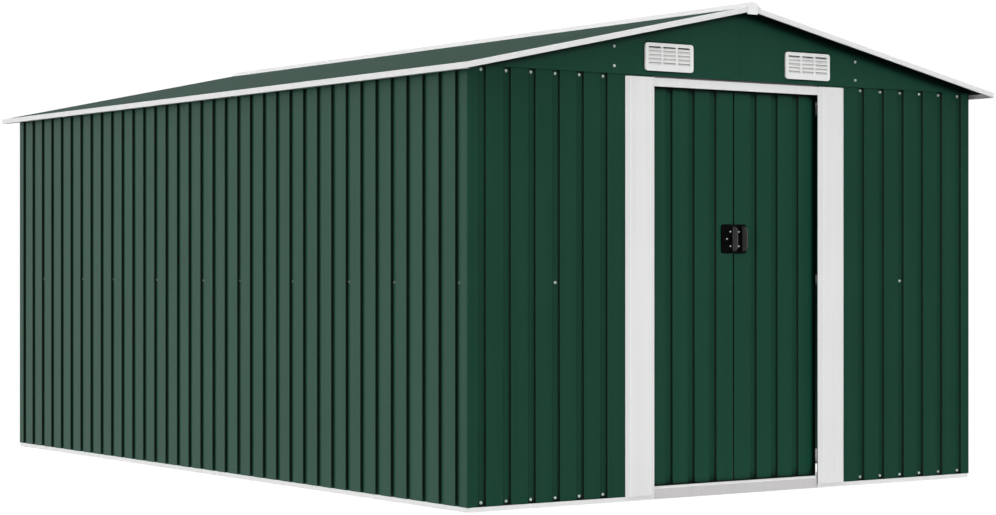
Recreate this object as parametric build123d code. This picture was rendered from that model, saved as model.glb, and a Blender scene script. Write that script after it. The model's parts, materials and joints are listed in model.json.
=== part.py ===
import os

from build123d import *

# Metal storage shed: folded-sheet walls on a floor frame, a gable roof and two sliding doors.
# Millimetres. X runs across the front, Y from front to back, Z up; the ground is Z = 0.

# Frame and walls
frame_width = 2430
frame_depth = 3754
wall_top = 1550
wall_bottom = 16
sheet = 0.8
rail_sheet = 1.0
corner_leg = 21
corner_round = 4
seam_gap = 0.5

# Ribbed sheet: recessed channels between wide outer crowns
rib_depth = 9
rib_flank = 4
rib_floor = 26
side_pitch = 104.3
side_first = 50
side_ribs_per_panel = 9
front_pitch = 106.3
front_first = 53.5
back_panels = 3
back_ribs_per_panel = 8

# Floor rails, mid rails and top rails
floor_rail_height = 60
floor_rail_width = 48
floor_rail_lip = 15
mid_rail_height = 792
mid_rail_tall = 40
mid_rail_deep = 15
front_mid_rail_deep = 9
top_rail_drop = 45
top_rail_leg = 35

# Roof
side_overhang = 63.5
front_overhang = 93
back_overhang = 86
eave_drop = 24
roof_height = 270
trim_height = 21
trim_lip = 16
trim_return = 22
rake_return = 5
trim_sheet = 1.0
roof_panels = 4
roof_flange = 8
roof_step = 2
ridge_cap_reach = 41
ridge_cap_crest = 19
ridge_cap_gap = 0.3
ridge_cap_lift = 14
ridge_beam_half = 26
ridge_beam_drop = 42
ridge_slot = 12
purlin_place = 590
purlin_tall = 78
purlin_deep = 32
end_cap_width = 48
end_cap_drop = 46
end_cap_thick = 3

# Gable and vents
gable_lap = 6
gable_proud = 6
gable_seam = 0.6
vent_width = 225
vent_height = 102
vent_corner = 12
vent_thick = 7
vent_place = 339
vent_middle_height = 68
vent_border = 15
vent_bar = 9
vent_slots_up = 5
vent_columns = 3
vent_slots = 5
vent_slot_share = 0.6

# Doorway
jamb_width = 133
jamb_cover = 12.5
jamb_outer_lip = 18
jamb_inner_lip = 23
jamb_proud = 8
post_overlap = 5
header_height = 32
header_gap = 6
sill_height = 46
sill_slope = 7
sill_proud = 5
sill_top = 8

# Door leaves and what carries them
leaf_width = 411
leaf_gap = 5
leaf_setback = 25
leaf_bottom = 22
leaf_head_room = 16
leaf_pitch = 105.3
leaf_first = 96.5
brace_tall = 40
brace_deep = 12
brace_inset = 6
brace_lift = 30
grip_brace_height = 952
track_height = 22
track_sheet = 1.2
track_slot = 14
glide_length = 55
glide_stem = 9
glide_head = 26
glide_head_tall = 9
glide_inset = 22
glide_bridge = 4
seat = 0.3
shoe_length = 45
shoe_reach = 4

# Handles
handle_width = 56
handle_height = 105
handle_thick = 4
handle_corner = 8
handle_edge = 2
handle_middle = 952
right_fin_place = 35
fin_thick = 4
fin_stand = 31
fin_long = 92
fin_round = 20

# Derived planes and lines
half_width = frame_width / 2
crown_half = half_width + rib_depth
jamb_inner = leaf_gap / 2 + leaf_width - jamb_cover
jamb_outer = jamb_inner + jamb_width
eave_bottom = wall_top - eave_drop
leaf_top = wall_top - track_height - leaf_head_room
half_roof = half_width + side_overhang
roof_depth = frame_depth + front_overhang + back_overhang
front = front_overhang - roof_depth / 2
back = front + frame_depth
roof_front = -roof_depth / 2
roof_back = roof_depth / 2
fall = roof_height / half_roof
crown_front = front - rib_depth
crown_back = back + rib_depth
roof_top = trim_height - roof_step
roof_seat = roof_top - sheet - roof_flange
gable_bottom = wall_top - gable_lap
header_top = gable_bottom - header_gap
header_bottom = header_top - header_height
leaf_face = crown_front + leaf_setback
leaf_floor = leaf_face + rib_depth
track_half = leaf_face + rib_depth / 2 - front - sheet
track_middle = front + sheet + track_half
rail_corner = max(corner_round, rib_depth + sheet + rail_sheet)
rail_end = half_width - sheet
up = (0, 0, 1)


def roof_line(x, lift):
    """Height over the ground at x of the line that lies lift above the lower edge of the trims."""
    return eave_bottom + (half_roof - abs(x)) * fall + lift


ridge_top = roof_line(0, roof_top + ridge_cap_gap + ridge_cap_lift + trim_sheet)
cap_seat = roof_top + ridge_cap_gap + trim_sheet
side_top = min(wall_top, roof_line(crown_half, roof_seat) - seam_gap)


def mitre_offset(path, thickness):
    """The path moved to its right by thickness, with mitred corners, as a folding line is drawn."""
    moved = []
    for i, point in enumerate(path):
        before = Vector(*path[max(i - 1, 0)])
        here = Vector(*point)
        after = Vector(*path[min(i + 1, len(path) - 1)])
        way_in = (here - before) if i > 0 else (after - here)
        way_out = (after - here) if i < len(path) - 1 else way_in
        way_in = way_in.normalized()
        way_out = way_out.normalized()
        normal_in = Vector(way_in.Y, -way_in.X)
        normal_out = Vector(way_out.Y, -way_out.X)
        share = 1 + normal_in.dot(normal_out)
        step = (normal_in + normal_out) * (thickness / share)
        moved.append((here.X + step.X, here.Y + step.Y))
    return moved


def folded(path, thickness):
    """Section face of a sheet folded along the path."""
    outline = path + mitre_offset(path, thickness)[::-1]
    return make_face(Polyline(*outline, close=True))


def upright(path, thickness, plane, length):
    """Folded sheet stood on a plane and drawn out along the plane's normal."""
    return extrude(plane * folded(path, thickness), amount=length)


def along_y(path, thickness, start, end):
    """Folded section given as (x, z) points, drawn out along Y."""
    plane = Plane(origin=(0, end, 0), x_dir=(1, 0, 0), z_dir=(0, -1, 0))
    return upright(path, thickness, plane, end - start)


def along_x(path, thickness, start, end):
    """Folded section given as (y, z) points, drawn out along X."""
    plane = Plane(origin=(start, 0, 0), x_dir=(0, 1, 0), z_dir=(1, 0, 0))
    return upright(path, thickness, plane, end - start)


def down_slope(path, thickness, x_top, x_eave, lift):
    """Folded section given as (y, height) points, sheared down the right slope with upright ends."""
    plane = Plane(origin=(x_top, 0, roof_line(x_top, lift)), x_dir=(0, 1, 0), z_dir=(1, 0, 0))
    run = x_eave - x_top
    way = Vector(run, 0, -run * fall)
    return extrude(plane * folded(path, thickness), amount=way.length, dir=way)


def block(x_range, y_range, z_range):
    """Upright rectangular block between the given limits."""
    size = [high - low for low, high in (x_range, y_range, z_range)]
    middle = [(high + low) / 2 for low, high in (x_range, y_range, z_range)]
    return Pos(*middle) * Box(*size)


def other_side(solid):
    """The same piece on the other side of the shed."""
    return mirror(solid, about=Plane.YZ)


def rib_path(start, end, channels):
    """Outline of ribbed sheet from start to end, recessed at each channel middle."""
    path = [(start, rib_depth)]
    for middle in channels:
        path.append((middle - rib_floor / 2 - rib_flank, rib_depth))
        path.append((middle - rib_floor / 2, 0))
        path.append((middle + rib_floor / 2, 0))
        path.append((middle + rib_floor / 2 + rib_flank, rib_depth))
    path.append((end, rib_depth))
    return path


def channels_between(start, end, first, pitch):
    """Channel middles at the given pitch that fit whole between start and end."""
    reach = rib_floor / 2 + rib_flank + sheet
    count = int((end - reach - first) / pitch) + 1
    places = [first + i * pitch for i in range(count)]
    return [place for place in places if start + reach < place < end - reach]


def side_wall():
    """Left wall: ribbed panels stood edge to edge between the corner posts."""
    panel = side_ribs_per_panel * side_pitch
    start = corner_leg - rib_depth
    stop = frame_depth - start
    plane = Plane(origin=(-half_width, front, wall_bottom), x_dir=(0, 1, 0), z_dir=up)
    panels = []
    low = start
    while low < stop - side_pitch:
        high = min(low + panel, stop)
        if stop - high < side_pitch:
            high = stop
        channels = channels_between(low, high, side_first, side_pitch)
        path = rib_path(low + seam_gap / 2, high - seam_gap / 2, channels)
        panels.append(upright(path, sheet, plane, side_top - wall_bottom))
        low = high
    return panels


def back_wall():
    """Back wall: equal ribbed panels between the back corner posts."""
    start = corner_leg - rib_depth
    panel = (frame_width - 2 * start) / back_panels
    pitch = panel / back_ribs_per_panel
    plane = Plane(origin=(-half_width, back, wall_bottom), x_dir=(1, 0, 0), z_dir=up)
    panels = []
    for i in range(back_panels):
        low = start + i * panel
        high = low + panel
        channels = [low + (j + 1 / 2) * pitch for j in range(back_ribs_per_panel)]
        path = rib_path(low + seam_gap / 2, high - seam_gap / 2, channels)
        panels.append(upright(path, sheet, plane, wall_top - wall_bottom))
    return panels


def front_wall():
    """Front wall right of the doorway, from the corner post to its folded edge behind the jamb."""
    start = corner_leg - rib_depth + seam_gap / 2
    edge = half_width - jamb_inner - post_overlap
    channels = channels_between(start, half_width - jamb_outer, front_first, front_pitch)
    path = rib_path(start, edge, channels) + [(edge, 0)]
    plane = Plane(origin=(half_width, front, wall_bottom), x_dir=(-1, 0, 0), z_dir=up)
    return upright(path, sheet, plane, wall_top - wall_bottom)


def corner_posts():
    """Four corner posts, each one sheet folded round the corner in two flat bends."""
    low = corner_round - rib_depth
    leg = corner_leg - rib_depth - seam_gap / 2
    path = [(leg, -rib_depth), (low, -rib_depth), (-rib_depth, low), (-rib_depth, leg)]
    plane = Plane(origin=(-half_width, front, wall_bottom), x_dir=(1, 0, 0), z_dir=up)
    front_left = upright(path, sheet, plane, side_top - wall_bottom)
    back_left = Pos(0, front + back, 0) * mirror(front_left, about=Plane.XZ)
    return [front_left, other_side(front_left), back_left, other_side(back_left)]


def floor_rail_side():
    """Left floor rail: band on the wall's outer line, ledge under the sheet, upright leg behind it."""
    outer = sheet - half_width
    path = [
        (outer + floor_rail_width, 0),
        (-crown_half, 0),
        (-crown_half, wall_bottom),
        (outer, wall_bottom),
        (outer, floor_rail_height),
    ]
    return along_y(path, rail_sheet, crown_front + rail_corner, crown_back - rail_corner)


def rail_edge(outline, inner_line):
    """Outer edge of a floor rail in plan: foot on the ground, band along the outline, ledge on top."""
    plan = make_face(Polyline(*outline, *inner_line, close=True))
    foot = extrude(plan, amount=rail_sheet)
    ledge = Pos(0, 0, wall_bottom - rail_sheet) * foot
    band = extrude(folded(outline, rail_sheet), amount=wall_bottom) & extrude(plan, amount=wall_bottom)
    return foot + band + ledge


def floor_rail_back():
    """Back floor rail, its flat leg cut short where the side rails lie."""
    flat = rail_end - floor_rail_width
    face = back - sheet
    turn = crown_back - rail_corner
    outline = [
        (-crown_half, turn),
        (rail_corner - crown_half, crown_back),
        (crown_half - rail_corner, crown_back),
        (crown_half, turn),
    ]
    inner_line = [(rail_end, turn), (rail_end, face), (-rail_end, face), (-rail_end, turn)]
    web = block((-rail_end, rail_end), (face - rail_sheet, face), (0, floor_rail_height))
    foot = block((-flat, flat), (face - floor_rail_width, face), (0, rail_sheet))
    return web + foot + rail_edge(outline, inner_line)


def floor_rail_front():
    """Right front floor rail: outer edge as on the other walls, trough behind that guides the door."""
    flat = rail_end - floor_rail_width
    start = jamb_inner
    face = front + sheet
    rear = face + floor_rail_width
    turn = crown_front + rail_corner
    outline = [(crown_half, turn), (crown_half - rail_corner, crown_front), (start, crown_front)]
    inner_line = [(start, face), (rail_end, face), (rail_end, turn)]
    web = block((start, rail_end), (face, face + rail_sheet), (0, floor_rail_height))
    foot = block((start, flat), (face, rear), (0, rail_sheet))
    lip = block((start, flat), (rear - rail_sheet, rear), (0, floor_rail_lip))
    return web + foot + lip + rail_edge(outline, inner_line)


def door_sill():
    """Sill between the front rails: sloped lip in front of the doors, trough behind it."""
    end = jamb_inner - seat
    rear = front + sheet + floor_rail_width
    face = front - sill_proud
    path = [
        (rear, floor_rail_lip),
        (rear, 0),
        (face, 0),
        (face, sill_height - sill_slope),
        (face + sill_slope, sill_height),
        (face + sill_slope + sill_top, sill_height),
    ]
    return along_x(path, rail_sheet, -end, end)


def channel_rail(depth, tall, face, middle):
    """Section points of a rail with its back to the sheet and two legs inward."""
    low = middle - tall / 2
    high = middle + tall / 2
    return [(face + depth, low), (face, low), (face, high), (face + depth, high)]


def mid_rail_side():
    """Left mid rail, between the corner posts."""
    path = channel_rail(mid_rail_deep, mid_rail_tall, sheet - half_width, mid_rail_height)
    clear = corner_leg
    return along_y(path, rail_sheet, front + clear, back - clear)


def mid_rail_back():
    """Back mid rail, between the side mid rails."""
    path = [(-y, z) for y, z in channel_rail(mid_rail_deep, mid_rail_tall, sheet, mid_rail_height)]
    path = [(back + y, z) for y, z in path][::-1]
    end = half_width - corner_leg - mid_rail_deep
    return along_x(path, rail_sheet, -end, end)


def front_mid_rail():
    """Shallow rail behind the right front wall, clear of the sliding door."""
    path = channel_rail(front_mid_rail_deep, mid_rail_tall, front + sheet, mid_rail_height)
    return along_x(path, rail_sheet, jamb_outer, half_width - corner_leg)


def top_rail_side():
    """Left top rail: upright leg behind the wall, upper leg bent to the roof's slope."""
    outer = sheet - half_width
    inner = outer + top_rail_leg
    path = [
        (outer, wall_top - top_rail_drop),
        (outer, roof_line(outer, roof_seat)),
        (inner, roof_line(inner, roof_seat)),
    ]
    return along_y(path, rail_sheet, front + sheet + rail_sheet, back - sheet - rail_sheet)


def top_rail_back():
    """Back top rail: an angle behind the top edge of the back wall."""
    face = back - sheet
    path = [(face - top_rail_leg, wall_top), (face, wall_top), (face, wall_top - top_rail_drop)]
    end = half_width - sheet - top_rail_leg
    return along_x(path, rail_sheet, -end, end)


def door_track():
    """Top track: a C-shaped rail over both doors, with a slot that opens downward."""
    low = wall_top - track_height
    slot = track_slot / 2
    path = [
        (track_middle - slot, low),
        (track_middle - track_half, low),
        (track_middle - track_half, wall_top),
        (track_middle + track_half, wall_top),
        (track_middle + track_half, low),
        (track_middle + slot, low),
    ]
    end = half_width - sheet - top_rail_leg - seat
    return along_x(path, track_sheet, -end, end)


def door_header():
    """Header between the front walls, with a flat leg back to the track."""
    end = jamb_inner + post_overlap
    path = [
        (crown_front, header_bottom),
        (crown_front, header_top),
        (front + sheet, header_top),
    ]
    return along_x(path, rail_sheet, -end, end)


def jamb():
    """Right jamb: a shallow pressed cover with a sloped lip on each side."""
    face = crown_front - jamb_proud
    path = [
        (jamb_inner, crown_front),
        (jamb_inner + jamb_inner_lip, face),
        (jamb_outer - jamb_outer_lip, face),
        (jamb_outer, crown_front),
    ]
    plane = Plane(origin=(0, 0, wall_bottom), x_dir=(1, 0, 0), z_dir=up)
    return upright(path, rail_sheet, plane, header_top - wall_bottom)


def gable(wall_face, outward):
    """Two gable halves, each a pan with its rim against the wall and its vent opening cut through."""
    low = gable_bottom
    lift = roof_top - sheet
    inner = gable_seam / 2
    points = [
        (inner, low),
        (crown_half, low),
        (crown_half, roof_line(crown_half, lift)),
        (inner, roof_line(inner, lift)),
    ]
    plane = Plane(origin=(0, wall_face, 0), x_dir=(outward, 0, 0), z_dir=(0, -outward, 0))
    outline = plane * make_face(Polyline(*[(outward * x, z) for x, z in points], close=True))
    rim = plane * folded([(outward * x, z) for x, z in points[:3]][::-outward], sheet)
    deep = gable_proud + sheet
    plate = extrude(outline, amount=deep) - extrude(outline, amount=gable_proud)
    wide = vent_width / 2 - vent_border
    tall = vent_height / 2 - vent_border
    middle = gable_bottom + vent_middle_height + vent_slots_up
    hole = block(
        (vent_place - wide, vent_place + wide),
        (wall_face - 2 * deep, wall_face + 2 * deep),
        (middle - tall, middle + tall),
    )
    right = plate - hole + (extrude(rim, amount=deep) & extrude(outline, amount=deep))
    return [right, other_side(right)]


def vent(face, outward):
    """Right vent: a cover plate with rounded corners and columns of slots cut through it."""
    middle = (vent_place, face, gable_bottom + vent_middle_height)
    plane = Plane(origin=middle, x_dir=(outward, 0, 0), z_dir=(0, -outward, 0))
    plate = RectangleRounded(vent_width, vent_height, vent_corner)
    wide = (vent_width - 2 * vent_border - (vent_columns - 1) * vent_bar) / vent_columns
    step = (vent_height - 2 * vent_border) / vent_slots
    slots = Pos(0, vent_slots_up) * GridLocations(wide + vent_bar, step, vent_columns, vent_slots)
    cut = plate - slots * Rectangle(wide, step * vent_slot_share)
    return extrude(plane * cut, amount=vent_thick)


def vents(face, outward):
    """Pair of vents on one gable."""
    right = vent(face, outward)
    return [right, other_side(right)]


def roof_slope():
    """Right roof slope: trays with short folded flanges, laid side by side."""
    start = roof_front + end_cap_thick + trim_sheet
    panel = (roof_depth - 2 * (end_cap_thick + trim_sheet)) / roof_panels
    trays = []
    for i in range(roof_panels):
        low = start + i * panel + seam_gap / 2
        high = low + panel - seam_gap
        path = [(low, -roof_flange - sheet), (low, 0), (high, 0), (high, -roof_flange - sheet)]
        trays.append(down_slope(path, sheet, ridge_slot / 2, half_roof - trim_sheet, roof_top))
    return trays


def eave_trim():
    """Right eave trim: upright face, lip over the roof edge, return under the overhang."""
    inner = half_roof - trim_lip
    path = [
        (inner, roof_line(inner, trim_height)),
        (half_roof, roof_line(half_roof, trim_height)),
        (half_roof, eave_bottom),
        (half_roof - trim_return, eave_bottom),
    ]
    clear = end_cap_thick + max(trim_sheet + trim_lip, trim_return)
    body = along_y(path, trim_sheet, roof_front + clear, roof_back - clear)
    face = block(
        (half_roof - trim_sheet, half_roof),
        (roof_front + end_cap_thick, roof_back - end_cap_thick),
        (eave_bottom, roof_line(half_roof, trim_height)),
    )
    return body + face


def rake_trims(at_front):
    """Pair of rake trims on one gable end, cut upright at the ridge and at the eave."""
    face = roof_front + end_cap_thick
    path = [
        (face + trim_sheet + trim_lip, trim_height),
        (face, trim_height),
        (face, 0),
        (face + rake_return, 0),
    ]
    right = down_slope(path[::-1], trim_sheet, gable_seam, half_roof - trim_sheet, 0)
    if not at_front:
        right = mirror(right, about=Plane.XZ)
    return [right, other_side(right)]


def cap_outline(reach, lift):
    """Outline of the ridge cap: a flat fold over the ridge, with slanted sides that end at reach."""
    crest = ridge_top - ridge_cap_crest * fall
    foot = roof_line(reach, lift)
    left = [(-reach, foot), (-ridge_cap_crest, crest)]
    right = [(ridge_cap_crest, crest), (reach, foot)]
    return left + [(0, ridge_top)] + right


def ridge_cap():
    """Ridge cap: one sheet folded over both slopes, cut shorter at its ends to lap the rake trims."""
    long_side = cap_outline(ridge_cap_reach, cap_seat)
    slant = (long_side[1][1] - long_side[0][1]) / (ridge_cap_reach - ridge_cap_crest)
    short_side = cap_outline(ridge_cap_reach - roof_step / (slant - fall), cap_seat + roof_step)
    clear = end_cap_thick + trim_sheet + trim_lip
    middle = along_y(long_side, trim_sheet, roof_front + clear, roof_back - clear)
    return middle + along_y(short_side, trim_sheet, roof_front + end_cap_thick, roof_back - end_cap_thick)


def end_caps():
    """Ridge end caps: a plate that closes the end of the ridge cap, and a tongue over the trim joint."""
    side = end_cap_width / 2
    low = ridge_top - end_cap_drop
    wing = roof_line(side, cap_seat)
    tongue = [(side, wing), (side, low), (-side, low), (-side, wing)]
    outline = cap_outline(ridge_cap_reach, cap_seat) + tongue
    plane = Plane(origin=(0, roof_front + end_cap_thick, 0), x_dir=(1, 0, 0), z_dir=(0, -1, 0))
    cap = extrude(plane * make_face(Polyline(*outline, close=True)), amount=end_cap_thick)
    return [cap, mirror(cap, about=Plane.XZ)]


def ridge_beam():
    """Ridge beam: a folded hat under the upper edges of the roof trays."""
    side = ridge_beam_half
    shoulder = roof_line(side, roof_seat)
    foot = shoulder - ridge_beam_drop
    path = [(-side, foot), (-side, shoulder), (0, roof_line(0, roof_seat)), (side, shoulder), (side, foot)]
    return along_y(path, rail_sheet, crown_front - gable_proud, crown_back + gable_proud)


def purlin():
    """Right roof beam half way up the slope, upper leg bent to the roof."""
    inner = purlin_place - purlin_deep
    foot = roof_line(purlin_place, roof_seat) - purlin_tall
    path = [
        (inner, roof_line(inner, roof_seat)),
        (purlin_place, roof_line(purlin_place, roof_seat)),
        (purlin_place, foot),
        (inner, foot),
    ]
    return along_y(path, rail_sheet, crown_front - gable_proud, crown_back + gable_proud)


def leaf():
    """Left door leaf: ribbed sheet with folded edges, measured outward from the meeting edge."""
    channels = channels_between(0, leaf_width, leaf_first, leaf_pitch)
    path = [(0, 0)] + rib_path(0, leaf_width, channels) + [(leaf_width, 0)]
    plane = Plane(origin=(-leaf_gap / 2, leaf_floor, leaf_bottom), x_dir=(-1, 0, 0), z_dir=up)
    return upright(path, sheet, plane, leaf_top - leaf_bottom)


def leaf_braces():
    """Three cross braces on the back of the left leaf: foot, grip height and top."""
    heights = [leaf_bottom + brace_lift + brace_tall / 2, grip_brace_height, leaf_top - brace_tall / 2]
    outer = -leaf_gap / 2 - leaf_width + brace_inset
    inner = -leaf_gap / 2 - brace_inset
    braces = []
    for height in heights:
        path = channel_rail(brace_deep, brace_tall, leaf_floor + sheet, height)
        braces.append(along_x(path, rail_sheet, outer, inner))
    return braces


def leaf_runners():
    """Nylon glides that hang in the top track and shoes that run in the floor trough."""
    outer = -leaf_gap / 2 - leaf_width + glide_inset
    inner = -leaf_gap / 2 - glide_inset
    lip = wall_top - track_height + track_sheet
    foot_top = leaf_bottom + brace_lift
    rear = leaf_floor + sheet
    runners = []
    for low in (outer, inner - glide_length):
        span = (low, low + glide_length)
        middle = (track_middle - glide_stem / 2, track_middle + glide_stem / 2)
        head = (track_middle - glide_head / 2, track_middle + glide_head / 2)
        stem = block(span, middle, (leaf_top, lip + seat + glide_head_tall))
        cross = block(span, head, (lip + seat, lip + seat + glide_head_tall))
        bridge = block(span, (middle[0], rear + brace_deep), (leaf_top, leaf_top + glide_bridge))
        runners.append(stem + cross + bridge)
    for low in (outer, inner - shoe_length):
        span = (low, low + shoe_length)
        depth = (leaf_face - shoe_reach, rear + brace_deep)
        plate = block(span, (rear, rear + brace_deep), (leaf_bottom, foot_top))
        foot = block(span, depth, (rail_sheet + seat, leaf_bottom))
        runners.append(plate + foot)
    return runners


def handle(fin_place):
    """Left handle: plate on the leaf's first crown and a fin that stands at fin_place from its edge."""
    inner = -leaf_gap / 2 - handle_edge
    middle = inner - handle_width / 2
    plane = Plane(origin=(middle, leaf_face, handle_middle), x_dir=(1, 0, 0), z_dir=(0, -1, 0))
    outline = RectangleRounded(handle_width, handle_height, handle_corner)
    plate = extrude(plane * outline, amount=handle_thick)
    half = fin_long / 2
    fin = block(
        (inner - fin_place - fin_thick, inner - fin_place),
        (leaf_face - fin_stand, leaf_face - handle_thick),
        (handle_middle - half, handle_middle + half),
    )
    tip_edges = fin.edges().filter_by(Axis.X).group_by(Axis.Y)[0]
    return plate + fillet(tip_edges, fin_round)


def save(name, solids):
    """Write one node."""
    pieces = solids if isinstance(solids, list) else [solids]
    flat = []
    for piece in pieces:
        flat.extend(piece.solids())
    export_step(Compound(children=flat), f"parts/{name}.step")


def save_pair(name, solids):
    """Write a left-hand piece and its mirror image on the right."""
    pieces = solids if isinstance(solids, list) else [solids]
    save(f"left_{name}", pieces)
    save(f"right_{name}", [other_side(piece) for piece in pieces])


def save_mirrored(name, solids):
    """Write a right-hand piece and its mirror image on the left."""
    pieces = solids if isinstance(solids, list) else [solids]
    save(f"right_{name}", pieces)
    save(f"left_{name}", [other_side(piece) for piece in pieces])


os.makedirs("parts", exist_ok=True)

save_pair("floor_rail", floor_rail_side())
save("back_floor_rail", floor_rail_back())
save_mirrored("front_floor_rail", floor_rail_front())
save("door_sill", door_sill())

save("corner_posts", corner_posts())
save_pair("wall", side_wall())
save("back_wall", back_wall())
save_mirrored("front_wall", front_wall())

save_pair("mid_rail", mid_rail_side())
save("back_mid_rail", mid_rail_back())
save("front_mid_rails", [front_mid_rail(), other_side(front_mid_rail())])
save_pair("top_rail", top_rail_side())
save("back_top_rail", top_rail_back())

save("door_track", door_track())
save("door_header", door_header())
save_mirrored("jamb", jamb())

save("front_gable", gable(crown_front, 1))
save("back_gable", gable(crown_back, -1))
save("front_vents", vents(crown_front - gable_proud - sheet, 1))
save("back_vents", vents(crown_back + gable_proud + sheet, -1))

save("ridge_beam", ridge_beam())
save_mirrored("purlin", purlin())
save_mirrored("roof", roof_slope())
save_mirrored("eave_trim", eave_trim())
save("front_rake_trims", rake_trims(True))
save("back_rake_trims", rake_trims(False))
save("ridge_cap", ridge_cap())
save("ridge_end_caps", end_caps())

save_pair("door_leaf", leaf())
save_pair("door_braces", leaf_braces())
save_pair("door_runners", leaf_runners())
save("left_door_handle", handle(0))
save("right_door_handle", other_side(handle(right_fin_place)))
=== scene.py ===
import json
import math

import bmesh
import bpy
from mathutils import Matrix, Vector

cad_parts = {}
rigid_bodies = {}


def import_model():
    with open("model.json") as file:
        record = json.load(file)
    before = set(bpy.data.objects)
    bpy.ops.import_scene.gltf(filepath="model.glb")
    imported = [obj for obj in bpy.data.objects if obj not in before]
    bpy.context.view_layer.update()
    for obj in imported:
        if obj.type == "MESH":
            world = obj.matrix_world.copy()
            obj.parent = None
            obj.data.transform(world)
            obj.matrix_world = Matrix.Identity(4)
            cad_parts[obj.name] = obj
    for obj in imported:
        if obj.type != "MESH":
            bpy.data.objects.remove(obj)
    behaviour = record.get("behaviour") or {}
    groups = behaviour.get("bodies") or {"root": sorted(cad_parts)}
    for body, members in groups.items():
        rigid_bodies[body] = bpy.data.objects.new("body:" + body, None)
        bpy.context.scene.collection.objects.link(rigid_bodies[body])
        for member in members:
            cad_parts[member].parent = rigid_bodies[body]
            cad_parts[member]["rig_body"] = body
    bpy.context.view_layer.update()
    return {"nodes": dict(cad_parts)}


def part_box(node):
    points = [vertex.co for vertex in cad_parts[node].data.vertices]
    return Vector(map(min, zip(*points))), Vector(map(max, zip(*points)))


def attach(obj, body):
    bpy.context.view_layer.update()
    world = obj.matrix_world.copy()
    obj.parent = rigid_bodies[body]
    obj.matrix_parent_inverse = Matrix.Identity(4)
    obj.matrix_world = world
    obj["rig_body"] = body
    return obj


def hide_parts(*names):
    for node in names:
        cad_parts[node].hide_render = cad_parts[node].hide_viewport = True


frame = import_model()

# Floor frame
# Angles of folded steel laid on the ground on all four sides, with a white coat baked on.
# Only a narrow strip shows under the wall sheets; the sill closes the front between the rails.

floor_rails = ["left_floor_rail", "right_floor_rail", "back_floor_rail",
               "left_front_floor_rail", "right_front_floor_rail"]
rail_bend = 0.0015
bend_steps = 3
weld_reach = 1e-6
flat_angle = 0.01
fold_angle = 0.15
soft_angle = 0.6
shortest_fold = 0.04
round_profile = 0.5
white_dark = (0.720, 0.725, 0.720)
white_light = (0.770, 0.775, 0.770)
white_roughness = 0.42
white_gloss = 0.11
white_wave = 0.0006
sill_shade_dark = (0.545, 0.53, 0.535)
sill_shade_light = (0.585, 0.57, 0.575)
sill_shade_tilt = 0.2
cloud_scale = 2.3
cloud_detail = 4.0
run_stretch = (34, 34, 0.7)
run_scale = 1.0
run_detail = 2.0
tone_low = 0.75
tone_high = 1.25
scuff_scale = 60.0
scuff_detail = 3.0
scuff_swing = 0.06
wear_share = 0.25
wear_gain = 1.5
wear_lift = 0.01
# Shade painted into the base colour of a coat: how far the occlusion rays reach, the open share over which
# the colour darkens, and the rays per point.
shade_reach = 0.045
shade_shares = (0.62, 0.84)
shade_samples = 16
peel_scale = 850.0
peel_detail = 1.0
peel_strength = 0.12
peel_depth = 0.0003
wave_strength = 0.5


def add(tree, kind, inputs=None, **settings):
    """Put one shader node in a tree; inputs are values or the sockets that feed them."""
    made = tree.nodes.new(kind)
    for name, value in settings.items():
        setattr(made, name, value)
    for name, value in (inputs or {}).items():
        if isinstance(value, bpy.types.NodeSocket):
            tree.links.new(value, made.inputs[name])
        else:
            made.inputs[name].default_value = value
    return made


def new_finish(name):
    """Start of a finish: the material, its node tree, its shader and the place on the piece."""
    material = bpy.data.materials.new(name)
    material.use_nodes = True
    tree = material.node_tree
    place = add(tree, "ShaderNodeTexCoord").outputs["Object"]
    return material, tree, tree.nodes["Principled BSDF"], place


def noise(tree, place, scale, detail):
    """Cloudy value that changes with the place."""
    inputs = {"Vector": place, "Scale": scale, "Detail": detail}
    return add(tree, "ShaderNodeTexNoise", inputs).outputs["Fac"]


def reckon(tree, operation, first, second):
    """Sum or product of two values."""
    return add(tree, "ShaderNodeMath", {0: first, 1: second}, operation=operation).outputs["Value"]


def stretch(tree, value, start=0.0, end=1.0, low=0.0, high=1.0):
    """Value stretched so that start to end becomes low to high, and held there beyond both ends."""
    inputs = {"Value": value, "From Min": start, "From Max": end, "To Min": low, "To Max": high}
    return add(tree, "ShaderNodeMapRange", inputs).outputs["Result"]


def two_tone(tree, share, dark, light):
    """Colour between a dark and a light tone."""
    ramp = add(tree, "ShaderNodeValToRGB", {"Fac": share})
    ramp.color_ramp.elements[0].color = (*dark, 1)
    ramp.color_ramp.elements[1].color = (*light, 1)
    return ramp.outputs["Color"]


def lay_over(tree, way, share, under, over):
    """One colour laid over another, mixed with it or multiplied by it."""
    inputs = {"Fac": share, "Color1": under, "Color2": over}
    return add(tree, "ShaderNodeMixRGB", inputs, blend_type=way).outputs["Color"]


def relief(tree, height, strength, depth, finer=None):
    """Shading as of a shallow relief, on top of a finer one where that is given."""
    inputs = {"Height": height, "Strength": strength, "Distance": depth}
    if finer is not None:
        inputs["Normal"] = finer
    return add(tree, "ShaderNodeBump", inputs).outputs["Normal"]


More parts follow.
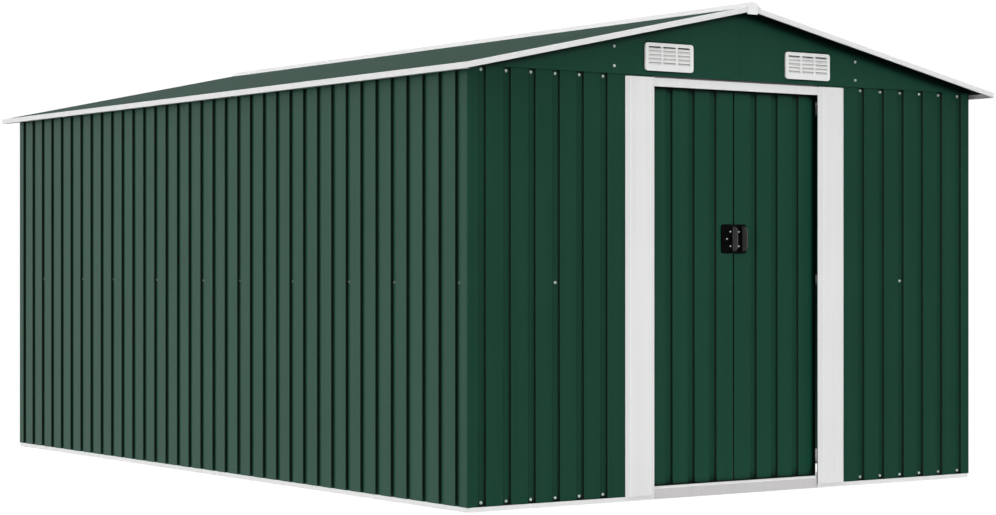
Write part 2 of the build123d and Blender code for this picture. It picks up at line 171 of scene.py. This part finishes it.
def coated_steel(name, dark, light, roughness, gloss, wave_depth, painted_shade=1.0, self_shade_only=True,
                 reach=shade_reach, shares=shade_shares):
    """Baked coat on folded sheet: soft clouds and run marks, orange peel, paler bends, and shade painted
    into hollows and corners.
    """
    material, tree, coat, place = new_finish(name)
    cloud = noise(tree, place, cloud_scale, cloud_detail)
    drawn = add(tree, "ShaderNodeMapping", {"Vector": place, "Scale": run_stretch}).outputs["Vector"]
    runs = noise(tree, drawn, run_scale, run_detail)
    tone = stretch(tree, reckon(tree, "ADD", cloud, runs), tone_low, tone_high)
    colour = two_tone(tree, tone, dark, light)
    bend = add(tree, "ShaderNodeAttribute", attribute_name="bend").outputs["Fac"]
    scuffs = noise(tree, place, scuff_scale, scuff_detail)
    worn = reckon(tree, "MULTIPLY", reckon(tree, "MULTIPLY", bend, scuffs), wear_share)
    pale = tuple(channel * wear_gain + wear_lift for channel in light)
    colour = lay_over(tree, "MIX", worn, colour, (*pale, 1))
    # Painted shade: where nearby surfaces close in on a point (channels, corners, under overhanging
    # parts), its base colour is multiplied darker.
    if painted_shade < 1:
        unshaded_share = add(tree, "ShaderNodeAmbientOcclusion", {"Distance": reach},
                         samples=shade_samples, only_local=self_shade_only).outputs["AO"]
        shade = stretch(tree, unshaded_share, shares[0], shares[1], painted_shade)
        colour = lay_over(tree, "MULTIPLY", 1.0, colour, shade)
    tree.links.new(colour, coat.inputs["Base Color"])
    sheen = stretch(tree, scuffs, low=roughness - scuff_swing, high=roughness + scuff_swing)
    tree.links.new(sheen, coat.inputs["Roughness"])
    peel = relief(tree, noise(tree, place, peel_scale, peel_detail), peel_strength, peel_depth)
    wave = relief(tree, cloud, wave_strength, wave_depth, peel)
    tree.links.new(wave, coat.inputs["Normal"])
    coat.inputs["Specular IOR Level"].default_value = gloss
    return material


def finished(work, name, material):
    """The worked mesh as a piece of the scene, in its finish."""
    mesh = bpy.data.meshes.new(name)
    work.to_mesh(mesh)
    work.free()
    mesh.materials.append(material)
    piece = bpy.data.objects.new(name, mesh)
    bpy.context.scene.collection.objects.link(piece)
    return piece


def roll_bends(node, bend, material, steps=bend_steps):
    """A folded piece with its sharp folds rolled to a small radius; it stands for its plain solid."""
    solid = frame["nodes"][node]
    work = bmesh.new()
    work.from_mesh(solid.data)
    bmesh.ops.remove_doubles(work, verts=work.verts, dist=weld_reach)
    bmesh.ops.dissolve_limit(work, angle_limit=flat_angle, verts=work.verts, edges=work.edges)
    mark = work.faces.layers.float.new("bend")
    folds = []
    for edge in work.edges:
        if len(edge.link_faces) != 2 or edge.calc_face_angle(0) < fold_angle:
            continue
        length = edge.calc_length()
        widths = [face.calc_area() / length for face in edge.link_faces]
        if length > shortest_fold and min(widths) > 2 * bend:
            folds.append(edge)
    rolled = bmesh.ops.bevel(work, geom=folds, offset=bend, segments=steps, profile=round_profile,
                             affect="EDGES", clamp_overlap=True)
    for face in rolled["faces"]:
        face[mark] = 1
    for face in work.faces:
        face.smooth = True
    for edge in work.edges:
        edge.smooth = edge.calc_face_angle(0) < soft_angle
    piece = finished(work, node + "_folded", material)
    piece.modifiers.new("even_light", "WEIGHTED_NORMAL").keep_sharp = True
    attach(piece, solid["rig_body"])
    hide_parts(node)
    return piece


white_coat = coated_steel("white_coat", white_dark, white_light, white_roughness, white_gloss, white_wave)
# Painted shade: the sill's faces that do not look upward take a grey copy of the white coat, and only its
# upward lip keeps the white.
sill_shade_coat = coated_steel("sill_shade_coat", sill_shade_dark, sill_shade_light, white_roughness, white_gloss, white_wave)
for node in floor_rails:
    roll_bends(node, rail_bend, white_coat)
sill = roll_bends("door_sill", rail_bend, sill_shade_coat)
sill.data.materials.append(white_coat)
for face in sill.data.polygons:
    face.material_index = int(face.normal.z > sill_shade_tilt)

# Wall sheets and corner posts
# Roll-formed steel sheet, dark green, with narrow channels pressed in between wide crowns.
# The sheets stand edge to edge on the floor frame; a folded post closes each corner.

wall_sheets = ["left_wall", "right_wall", "back_wall", "left_front_wall", "right_front_wall"]
wall_bend = 0.0022
post_bend = 0.0014
post_steps = 4
green_dark = (0.0032, 0.0540, 0.0287)
green_light = (0.0044, 0.0608, 0.0329)
green_roughness = 0.40
green_gloss = 0.16
green_wave = 0.0008
green_painted_shade = 0.06
wall_shade_shares = (0.69, 0.83)

# The wall coat has shade painted into its channels, from the sheet's own folds only, so that the channels
# read nearly black.
green_coat = coated_steel("green_coat", green_dark, green_light, green_roughness, green_gloss, green_wave,
                          green_painted_shade, shares=wall_shade_shares)
for node in wall_sheets:
    roll_bends(node, wall_bend, green_coat)
roll_bends("corner_posts", post_bend, green_coat, post_steps)

# Rails behind the walls
# Galvanised channels screwed to the sheets at mid height and along the top edges.
# The zinc keeps its grey spangle, since nobody coats what stays inside.

zinc_rails = ["left_mid_rail", "right_mid_rail", "back_mid_rail", "front_mid_rails",
              "left_top_rail", "right_top_rail", "back_top_rail"]
zinc_dark = (0.42, 0.43, 0.44)
zinc_light = (0.60, 0.61, 0.62)
zinc_smoothest = 0.38
zinc_roughest = 0.55
zinc_metal = 0.9
spangle_scale = 70.0
spangle_low = 0.3
spangle_high = 1.7
spangle_strength = 0.08
spangle_depth = 0.0002
haze_scale = 9.0
haze_detail = 4.0


def galvanised(name, dark, light):
    """Hot-dip zinc: grey metal with crystal spangle that changes its shade and gloss."""
    material, tree, metal, place = new_finish(name)
    crystal = add(tree, "ShaderNodeTexVoronoi", {"Vector": place, "Scale": spangle_scale}).outputs["Color"]
    spangle = add(tree, "ShaderNodeSeparateColor", {"Color": crystal}).outputs["Red"]
    haze = noise(tree, place, haze_scale, haze_detail)
    tone = stretch(tree, reckon(tree, "ADD", spangle, haze), spangle_low, spangle_high)
    tree.links.new(two_tone(tree, tone, dark, light), metal.inputs["Base Color"])
    sheen = stretch(tree, spangle, low=zinc_smoothest, high=zinc_roughest)
    tree.links.new(sheen, metal.inputs["Roughness"])
    dents = relief(tree, spangle, spangle_strength, spangle_depth)
    tree.links.new(dents, metal.inputs["Normal"])
    metal.inputs["Metallic"].default_value = zinc_metal
    return material


def dress(node, material):
    """Give a piece that keeps its own solid its finish."""
    for place in frame["nodes"][node].material_slots:
        place.material = material


zinc = galvanised("zinc_spangle", zinc_dark, zinc_light)
for node in zinc_rails:
    dress(node, zinc)

# Wall screws
# Self-drilling steel screws with a flanged hexagon head and a sealing washer, driven through the
# channel floors into the rails: under the gable edge, at mid height and above the floor frame.

channel_depth = 0.009
post_leg = 0.012
front_first = 0.0535
front_pitch = 0.1063
front_channels = 6
front_mid_channel = 3
side_first = 0.050
side_pitch = 0.1043
side_screw_channels = (0, 4, 7, 11, 15, 18, 22, 26, 29, 33)
back_channels = 24
back_mid_step = 3
screw_top_drop = 0.0115
screw_foot_rise = 0.014
screw_mid_height = 0.792
washer_radius = 0.0056
washer_thick = 0.0012
washer_chamfer = 0.0005
washer_rim_share = 0.7
collar_radius = 0.0048
collar_thick = 0.0010
collar_chamfer = 0.0004
head_radius = 0.0038
head_tall = 0.0032
head_chamfer = 0.0006
washer_sides = 20
head_sides = 6
bright_dark = (0.66, 0.74, 0.70)
bright_light = (0.84, 0.92, 0.88)
shaded_screw_dark = (0.13, 0.16, 0.15)
shaded_screw_light = (0.19, 0.23, 0.21)
plating_scale = 300.0
plating_detail = 2.0
plating_smoothest = 0.3
plating_roughest = 0.45
plating_strength = 0.1
plating_depth = 0.0001
plating_metal = 0.4

head_foot = washer_thick + collar_thick
head_top = head_foot + head_tall
washer_rings = [(washer_radius, 0, washer_sides),
                (washer_radius, washer_thick * washer_rim_share, washer_sides),
                (washer_radius - washer_chamfer, washer_thick, washer_sides)]
collar_rings = [(collar_radius, washer_thick, washer_sides),
                (collar_radius - collar_chamfer, head_foot, washer_sides)]
head_rings = [(head_radius, head_foot, head_sides),
              (head_radius, head_top - head_chamfer, head_sides),
              (head_radius - head_chamfer, head_top, head_sides)]


def screw_steel(name, dark, light):
    """Zinc-plated screw steel with a faint cloudy passivation."""
    material, tree, steel, place = new_finish(name)
    plating = noise(tree, place, plating_scale, plating_detail)
    tree.links.new(two_tone(tree, plating, dark, light), steel.inputs["Base Color"])
    sheen = stretch(tree, plating, low=plating_smoothest, high=plating_roughest)
    tree.links.new(sheen, steel.inputs["Roughness"])
    marks = relief(tree, plating, plating_strength, plating_depth)
    tree.links.new(marks, steel.inputs["Normal"])
    steel.inputs["Metallic"].default_value = plating_metal
    return material


def turned(work, rings, turn):
    """Closed form through rings of (radius, height, sides), stood up by the turn matrix."""
    loops = []
    for radius, height, sides in rings:
        angles = [2 * math.pi * i / sides for i in range(sides)]
        points = [turn @ Vector((radius * math.cos(a), radius * math.sin(a), height)) for a in angles]
        loops.append([work.verts.new(point) for point in points])
    for low, high in zip(loops, loops[1:]):
        for i in range(len(low)):
            j = (i + 1) % len(low)
            work.faces.new((low[i], low[j], high[j], high[i]))
    work.faces.new(loops[0][::-1])
    work.faces.new(loops[-1])


def screws(name, places, outward, body, material, scale=1.0):
    """One joined mesh of screws at the given places, their heads facing outward."""
    work = bmesh.new()
    stand = Vector(outward).to_track_quat("Z", "Y").to_matrix().to_4x4()
    for place in places:
        turn = Matrix.Translation(place) @ stand @ Matrix.Scale(scale, 4)
        for rings in (washer_rings, collar_rings, head_rings):
            turned(work, rings, turn)
    piece = finished(work, name, material)
    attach(piece, body)


bright_steel = screw_steel("bright_screw_steel", bright_dark, bright_light)
shaded_steel = screw_steel("shaded_screw_steel", shaded_screw_dark, shaded_screw_light)
front_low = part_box("left_front_wall")[0]
side_low, side_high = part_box("left_wall")
rear_low, rear_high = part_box("back_wall")
half_width = -side_low.x - channel_depth
front_floor = front_low.y + channel_depth
rear_floor = rear_high.y - channel_depth
gable_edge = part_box("front_gable")[0].z
screw_rows = (gable_edge - screw_top_drop, front_low.z + screw_foot_rise)

front_screws = []
for side in (-1, 1):
    for i in range(front_channels):
        x = side * (half_width - front_first - i * front_pitch)
        front_screws += [(x, front_floor, z) for z in screw_rows]
    x = side * (half_width - front_first - front_mid_channel * front_pitch)
    front_screws.append((x, front_floor, screw_mid_height))
screws("front_wall_screws", front_screws, (0, -1, 0), "shed", bright_steel)

# The side-wall screws are in a much darker copy of the screw steel, painted shade for the channels that
# hide them.
for side, name in ((-1, "left"), (1, "right")):
    places = [(side * half_width, front_floor + side_first + i * side_pitch, screw_mid_height)
              for i in side_screw_channels]
    screws(name + "_wall_screws", places, (side, 0, 0), "shed", shaded_steel)

back_pitch = 2 * (half_width - post_leg) / back_channels
back_screws = []
for i in range(back_channels):
    x = post_leg - half_width + (i + 1 / 2) * back_pitch
    back_screws += [(x, rear_floor, z) for z in screw_rows]
    if i % back_mid_step == 1:
        back_screws.append((x, rear_floor, screw_mid_height))
screws("back_wall_screws", back_screws, (0, 1, 0), "shed", bright_steel)

# Doorway
# A galvanised track carries both doors; a white header hides it between two white jamb covers,
# which are pressed from one sheet with a sloped lip on each side and screwed over the wall edges.

jamb_bend = 0.003

dress("door_track", zinc)
roll_bends("door_header", rail_bend, white_coat)
for node in ("left_jamb", "right_jamb"):
    roll_bends(node, jamb_bend, white_coat)

# Gables
# Two flat green sheets at each end, butted on the centre line and lapped over the wall sheets,
# with a pair of screws into the end of each roof purlin.

gable_screw_place = 0.590
gable_screw_rows = (1.642, 1.571)
gable_lit_dark = (0.0038, 0.0585, 0.0325)
gable_lit_light = (0.0050, 0.0655, 0.0370)
gable_painted_shade = 0.15
gable_shade_reach = 0.072
gable_shade_shares = (0.70, 0.83)

# The gables take a lighter copy of the wall green, painted light, with painted shade where other parts
# stand near: under the rake overhangs and round the vents.
gable_lit_coat = coated_steel("gable_lit_coat", gable_lit_dark, gable_lit_light, green_roughness, green_gloss, green_wave,
                          gable_painted_shade, self_shade_only=False, reach=gable_shade_reach, shares=gable_shade_shares)
for name, outward in (("front_gable", -1), ("back_gable", 1)):
    dress(name, gable_lit_coat)
    low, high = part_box(name)
    face = low.y if outward < 0 else high.y
    places = [(side * gable_screw_place, face, z) for side in (-1, 1) for z in gable_screw_rows]
    screws(name + "_screws", places, (0, outward, 0), "shed", bright_steel)

# Vents
# Moulded white plastic covers pushed into the gable openings, each with three columns of slots.
# A thin blade leans back in every slot, so that air passes and rain runs out again.

vent_place = 0.339
vent_border = 0.015
vent_bar = 0.009
vent_slots_up = 0.005
vent_columns = 3
vent_slots = 5
vent_slot_share = 0.6
blade_thick = 0.0012
blade_root = 2 * blade_thick
blade_sunk = 0.0012
blade_reach = 0.002
top_gap = 0.0036
foot_gap = 0.0010
shut_gap = 0.0004
plastic_dark = (0.80, 0.81, 0.80)
plastic_light = (0.85, 0.86, 0.85)
plastic_roughness = 0.45
plastic_gloss = 0.3
blade_shade_dark = (0.72, 0.72, 0.71)
blade_shade_light = (0.77, 0.77, 0.76)
blade_roughness = 0.5
blade_gloss = 0.2
fine_grain = 0.0002
flow_scale = 18.0
flow_detail = 3.0
flow_swing = 0.07
grain_scale = 1400.0
grain_detail = 2.0
grain_strength = 0.25


def moulded_plastic(name, dark, light, roughness, gloss, grain_depth):
    """Injection-moulded plastic: even colour with a faint flow pattern and a fine spark-eroded grain."""
    material, tree, plastic, place = new_finish(name)
    flow = noise(tree, place, flow_scale, flow_detail)
    tree.links.new(two_tone(tree, flow, dark, light), plastic.inputs["Base Color"])
    sheen = stretch(tree, flow, low=roughness - flow_swing, high=roughness + flow_swing)
    tree.links.new(sheen, plastic.inputs["Roughness"])
    grain = relief(tree, noise(tree, place, grain_scale, grain_detail), grain_strength, grain_depth)
    tree.links.new(grain, plastic.inputs["Normal"])
    plastic.inputs["Specular IOR Level"].default_value = gloss
    return material


def prism(work, section, half, along):
    """Prism on a closed section, reaching half to both sides of its plane along one axis."""
    ends = [[work.verts.new(Vector(point) + Vector(along) * side * half) for point in section]
            for side in (-1, 1)]
    work.faces.new(ends[0])
    work.faces.new(ends[1][::-1])
    for i in range(len(section)):
        j = (i + 1) % len(section)
        work.faces.new((ends[0][j], ends[0][i], ends[1][i], ends[1][j]))


white_plastic = moulded_plastic("white_plastic", plastic_dark, plastic_light,
                                plastic_roughness, plastic_gloss, fine_grain)
# The blades take a greyer copy of the vents' white plastic, painted shade inside the slots.
blade_shaded_plastic = moulded_plastic("blade_shaded_plastic", blade_shade_dark, blade_shade_light,
                                blade_roughness, blade_gloss, fine_grain)


def louvre_blades(node, outward):
    """Leaning blades in the slots of one pair of vents; the top and foot rows stand further open."""
    low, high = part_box(node)
    middle = (low.z + high.z) / 2
    wide = 2 * (high.x - vent_place)
    slot_wide = (wide - 2 * vent_border - (vent_columns - 1) * vent_bar) / vent_columns
    step = (high.z - low.z - 2 * vent_border) / vent_slots
    slot_tall = step * vent_slot_share
    front = (low.y if outward < 0 else high.y) - outward * blade_sunk
    rear = (high.y if outward < 0 else low.y) - outward * blade_reach
    gaps = [foot_gap] + [shut_gap] * (vent_slots - 2) + [top_gap]
    work = bmesh.new()
    for side in (-1, 1):
        for column in range(vent_columns):
            x = side * vent_place + (column - (vent_columns - 1) / 2) * (slot_wide + vent_bar)
            for row, gap in enumerate(gaps):
                foot = middle + vent_slots_up + (row - (vent_slots - 1) / 2) * step - slot_tall / 2
                top = foot + slot_tall - gap
                section = [(x, front, foot), (x, rear, top), (x, rear, top - blade_thick),
                           (x, front - outward * blade_root, foot)]
                prism(work, section, slot_wide / 2, (1, 0, 0))
    bmesh.ops.recalc_face_normals(work, faces=work.faces)
    piece = finished(work, node + "_blades", blade_shaded_plastic)
    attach(piece, "shed")


for node, outward in (("front_vents", -1), ("back_vents", 1)):
    dress(node, white_plastic)
    louvre_blades(node, outward)

# Roof
# Galvanised beams run from gable to gable under smooth green roof trays, whose downward faces are painted
# near-black as shade.
# White trims close the eaves and rakes, a white cap covers the ridge, and a moulded plate shuts
# each end of it.

roof_beams = ["ridge_beam", "left_purlin", "right_purlin"]
white_trims = ["left_eave_trim", "right_eave_trim", "front_rake_trims", "back_rake_trims", "ridge_cap"]
trim_bend = 0.0018
roof_lit_dark = (0.0090, 0.0640, 0.0390)
roof_lit_light = (0.0110, 0.0720, 0.0450)
roof_roughness = 0.62
roof_gloss = 0.13
roof_painted_shade = 0.08
underside_shade_dark = (0.0004, 0.0022, 0.0013)
underside_shade_light = (0.0007, 0.0032, 0.0019)
underside_shade_gloss = 0.05
underside_shade_tilt = -0.5

for node in roof_beams:
    dress(node, zinc)
# The roof trays take a lighter, greyer copy of the wall green, painted light, with painted shade beside
# the trims and the ridge cap.
roof_lit_coat = coated_steel("roof_lit_coat", roof_lit_dark, roof_lit_light, roof_roughness, roof_gloss, green_wave,
                         roof_painted_shade, self_shade_only=False)
underside_shade_coat = coated_steel("underside_shade_coat", underside_shade_dark, underside_shade_light, roof_roughness, underside_shade_gloss,
                            green_wave)
# Painted shade: every face of a tray that looks downward takes the near-black coat, for the dark underside
# of the overhang.
for node in ("left_roof", "right_roof"):
    roof = roll_bends(node, wall_bend, roof_lit_coat)
    roof.data.materials.append(underside_shade_coat)
    for face in roof.data.polygons:
        face.material_index = int(face.normal.z < underside_shade_tilt)
for node in white_trims:
    roll_bends(node, trim_bend, white_coat)
dress("ridge_end_caps", white_plastic)

# Seam sealant
# A dark bead pressed into every butt joint of the wall, gable and roof sheets, a little below
# their face, so that neither rain nor daylight comes through.

side_panels = 4
side_panel_ribs = 9
back_panels = 3
roof_panels = 4
seam_half = 0.00022
gable_seam_half = 0.00027
bead_sunk = 0.0003
bead_deep = 0.0005
roof_bead_deep = 0.006
sealant_dark = (0.004, 0.012, 0.008)
sealant_light = (0.006, 0.018, 0.012)
sealant_roughness = 0.6
sealant_gloss = 0.2

beads = bmesh.new()
for side in (-1, 1):
    outer = side * (-side_low.x - bead_sunk)
    inner = outer - side * bead_deep
    for i in range(1, side_panels):
        y = front_floor + post_leg + i * side_panel_ribs * side_pitch
        section = [(outer, y, side_low.z), (inner, y, side_low.z),
                   (inner, y, side_high.z), (outer, y, side_high.z)]
        prism(beads, section, seam_half, (0, 1, 0))

outer = rear_high.y - bead_sunk
inner = outer - bead_deep
for i in range(1, back_panels):
    x = rear_low.x + i * (rear_high.x - rear_low.x) / back_panels
    section = [(x, outer, rear_low.z), (x, inner, rear_low.z),
               (x, inner, rear_high.z), (x, outer, rear_high.z)]
    prism(beads, section, seam_half, (1, 0, 0))

for node, outward in (("front_gable", -1), ("back_gable", 1)):
    low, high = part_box(node)
    outer = (low.y if outward < 0 else high.y) - outward * bead_sunk
    inner = outer - outward * bead_deep
    section = [(0, outer, low.z), (0, inner, low.z), (0, inner, high.z), (0, outer, high.z)]
    prism(beads, section, gable_seam_half, (1, 0, 0))

corners = [vertex.co for vertex in frame["nodes"]["left_roof"].data.vertices]
eave = min(corner.x for corner in corners)
ridge = max(corner.x for corner in corners)
eave_top = max(corner.z for corner in corners if corner.x < eave + seam_half) - bead_sunk
ridge_top = max(corner.z for corner in corners if corner.x > ridge - seam_half) - bead_sunk
first = min(corner.y for corner in corners)
last = max(corner.y for corner in corners)
for side in (-1, 1):
    for i in range(1, roof_panels):
        y = first + i * (last - first) / roof_panels
        section = [(-side * eave, y, eave_top), (-side * eave, y, eave_top - roof_bead_deep),
                   (-side * ridge, y, ridge_top - roof_bead_deep), (-side * ridge, y, ridge_top)]
        prism(beads, section, seam_half, (0, 1, 0))

bmesh.ops.recalc_face_normals(beads, faces=beads.faces)
sealant_paste = moulded_plastic("sealant", sealant_dark, sealant_light,
                                sealant_roughness, sealant_gloss, fine_grain)
sealant = finished(beads, "seam_sealant", sealant_paste)
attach(sealant, "shed")

# Sliding doors
# Each leaf is one ribbed green sheet with three galvanised braces riveted across its back.
# Nylon glides hang it in the track, and nylon shoes keep its foot in the floor trough.

leaf_lit_dark = (0.0036, 0.0595, 0.0320)
leaf_lit_light = (0.0048, 0.0665, 0.0362)
leaf_shade_shares = (0.68, 0.87)
nylon_dark = (0.62, 0.61, 0.57)
nylon_light = (0.72, 0.71, 0.67)
nylon_roughness = 0.5
nylon_gloss = 0.35
coarse_grain = 0.0003

nylon = moulded_plastic("nylon", nylon_dark, nylon_light, nylon_roughness, nylon_gloss, coarse_grain)
# The leaves take a lighter copy of the wall green, painted light, and painted shade where the header and
# the jambs stand in front of them.
leaf_lit_coat = coated_steel("leaf_lit_coat", leaf_lit_dark, leaf_lit_light, green_roughness, green_gloss, green_wave,
                         green_painted_shade, self_shade_only=False, shares=leaf_shade_shares)
for side in ("left", "right"):
    roll_bends(side + "_door_leaf", wall_bend, leaf_lit_coat)
    dress(side + "_door_braces", zinc)
    dress(side + "_door_runners", nylon)

# Handles
# Black moulded plates on the meeting edges of the doors, each with three small bright screws
# and a standing fin to pull at, whose faces are painted grey as light falling on them.

black_dark = (0.0012, 0.0013, 0.0012)
black_light = (0.0025, 0.0026, 0.0025)
black_roughness = 0.42
black_gloss = 0.15
fin_lit_dark = (0.060, 0.060, 0.058)
fin_lit_light = (0.085, 0.084, 0.082)
fin_lit_roughness = 0.55
fin_lit_gloss = 0.20
handle_bend = 0.0009
plate_thick = 0.004
handle_screw_scale = 0.62
handle_screw_rows = (0.027, 0.0, -0.027)
left_screw_shifts = (-0.0194, -0.0361, -0.0194)
right_screw_shifts = (0.0218, 0.0115, 0.0218)

black_plastic = moulded_plastic("black_plastic", black_dark, black_light,
                                black_roughness, black_gloss, coarse_grain)
fin_lit_plastic = moulded_plastic("fin_lit_plastic", fin_lit_dark, fin_lit_light,
                               fin_lit_roughness, fin_lit_gloss, coarse_grain)
for name, shifts in (("left", left_screw_shifts), ("right", right_screw_shifts)):
    node = name + "_door_handle"
    handle = roll_bends(node, handle_bend, black_plastic)
    # Painted light: the fin's faces, standing in front of the plate, take a grey copy of the black
    # plastic.
    handle.data.materials.append(fin_lit_plastic)
    plate_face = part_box(name + "_door_leaf")[0].y - plate_thick
    for face in handle.data.polygons:
        face.material_index = int(face.center.y < plate_face - plate_thick)
    low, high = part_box(node)
    middle = (low.z + high.z) / 2
    places = [(x, plate_face, middle + z) for x, z in zip(shifts, handle_screw_rows)]
    screws(name + "_handle_screws", places, (0, -1, 0), name + "_door", bright_steel,
           handle_screw_scale)

# Studio
# A white backdrop under the shed that only the lens sees, a low band of light all round with weaker
# light from the zenith, and for the shine on the coats a wall of light behind the left side.

band_level = 3.35
under_level = 0.05
horizon_low = -0.28
horizon_high = -0.10
sky_low = 0.06
sky_high = 0.25
sky_share = 0.12
zenith_low = 0.55
zenith_high = 0.85
zenith_level = 0.95
shine_dim = 0.16
shine_bright = 1.40
shine_edge = -0.35
shine_way = (-0.8, 0.55, 0.0)
backdrop_size = 60
backdrop_level = 1.05
pure_white = (1, 1, 1, 1)


def backdrop():
    """White ground that the lens sees; it neither lights the shed nor shows in the coats."""
    work = bmesh.new()
    bmesh.ops.create_grid(work, x_segments=1, y_segments=1, size=backdrop_size)
    material = bpy.data.materials.new("backdrop_white")
    material.use_nodes = True
    tree = material.node_tree
    glow = add(tree, "ShaderNodeEmission", {"Color": pure_white, "Strength": backdrop_level})
    tree.links.new(glow.outputs["Emission"], tree.nodes["Material Output"].inputs["Surface"])
    ground = finished(work, "backdrop", material)
    ground.visible_diffuse = False
    ground.visible_glossy = False
    ground.visible_shadow = False


def studio_light():
    """Band and zenith for the matt part of every surface, wall of light at the left for its shine."""
    world = bpy.data.worlds.new("studio_light")
    world.use_nodes = True
    world.cycles.sampling_method = "NONE"
    tree = world.node_tree
    way = add(tree, "ShaderNodeTexCoord").outputs["Generated"]
    height = add(tree, "ShaderNodeSeparateXYZ", {"Vector": way}).outputs["Z"]
    band = stretch(tree, height, horizon_low, horizon_high, under_level, band_level)
    above = stretch(tree, height, sky_low, sky_high, 1.0, sky_share)
    zenith = stretch(tree, height, zenith_low, zenith_high, 0.0, zenith_level)
    matt = reckon(tree, "ADD", reckon(tree, "MULTIPLY", band, above), zenith)
    toward = add(tree, "ShaderNodeVectorMath", {0: way, 1: Vector(shine_way).normalized()},
                 operation="DOT_PRODUCT").outputs["Value"]
    shine = stretch(tree, toward, shine_edge, 1.0, shine_dim, shine_bright)
    ray = add(tree, "ShaderNodeLightPath").outputs
    level = add(tree, "ShaderNodeMix", {"Factor": ray["Is Glossy Ray"], "A": matt, "B": shine})
    light = tree.nodes["Background"]
    light.inputs["Color"].default_value = pure_white
    tree.links.new(level.outputs["Result"], light.inputs["Strength"])
    white = add(tree, "ShaderNodeBackground", {"Color": pure_white, "Strength": backdrop_level})
    seen = add(tree, "ShaderNodeMixShader", {0: ray["Is Camera Ray"], 1: light.outputs["Background"],
                                             2: white.outputs["Background"]})
    tree.links.new(seen.outputs["Shader"], tree.nodes["World Output"].inputs["Surface"])
    bpy.context.scene.world = world


backdrop()
studio_light()
bpy.context.scene.view_settings.view_transform = "Standard"

# Camera
# A long lens some ten metres away at hip height, turned towards the front left corner.
# It is held level and shifted a little, so that upright edges stay upright in the picture.

camera_place = (-5.8693, -8.7112, 0.8489)
camera_level = 90
camera_turn = -34.96
camera_lens = 86.60
camera_film = 36
camera_rise = 0.00904
camera_range = 200

lens = bpy.data.cameras.new("camera")
lens.lens = camera_lens
lens.sensor_width = camera_film
lens.shift_y = camera_rise
lens.clip_end = camera_range
camera = bpy.data.objects.new("camera", lens)
camera.location = camera_place
camera.rotation_euler = (math.radians(camera_level), 0, math.radians(camera_turn))
bpy.context.scene.collection.objects.link(camera)
bpy.context.scene.camera = camera
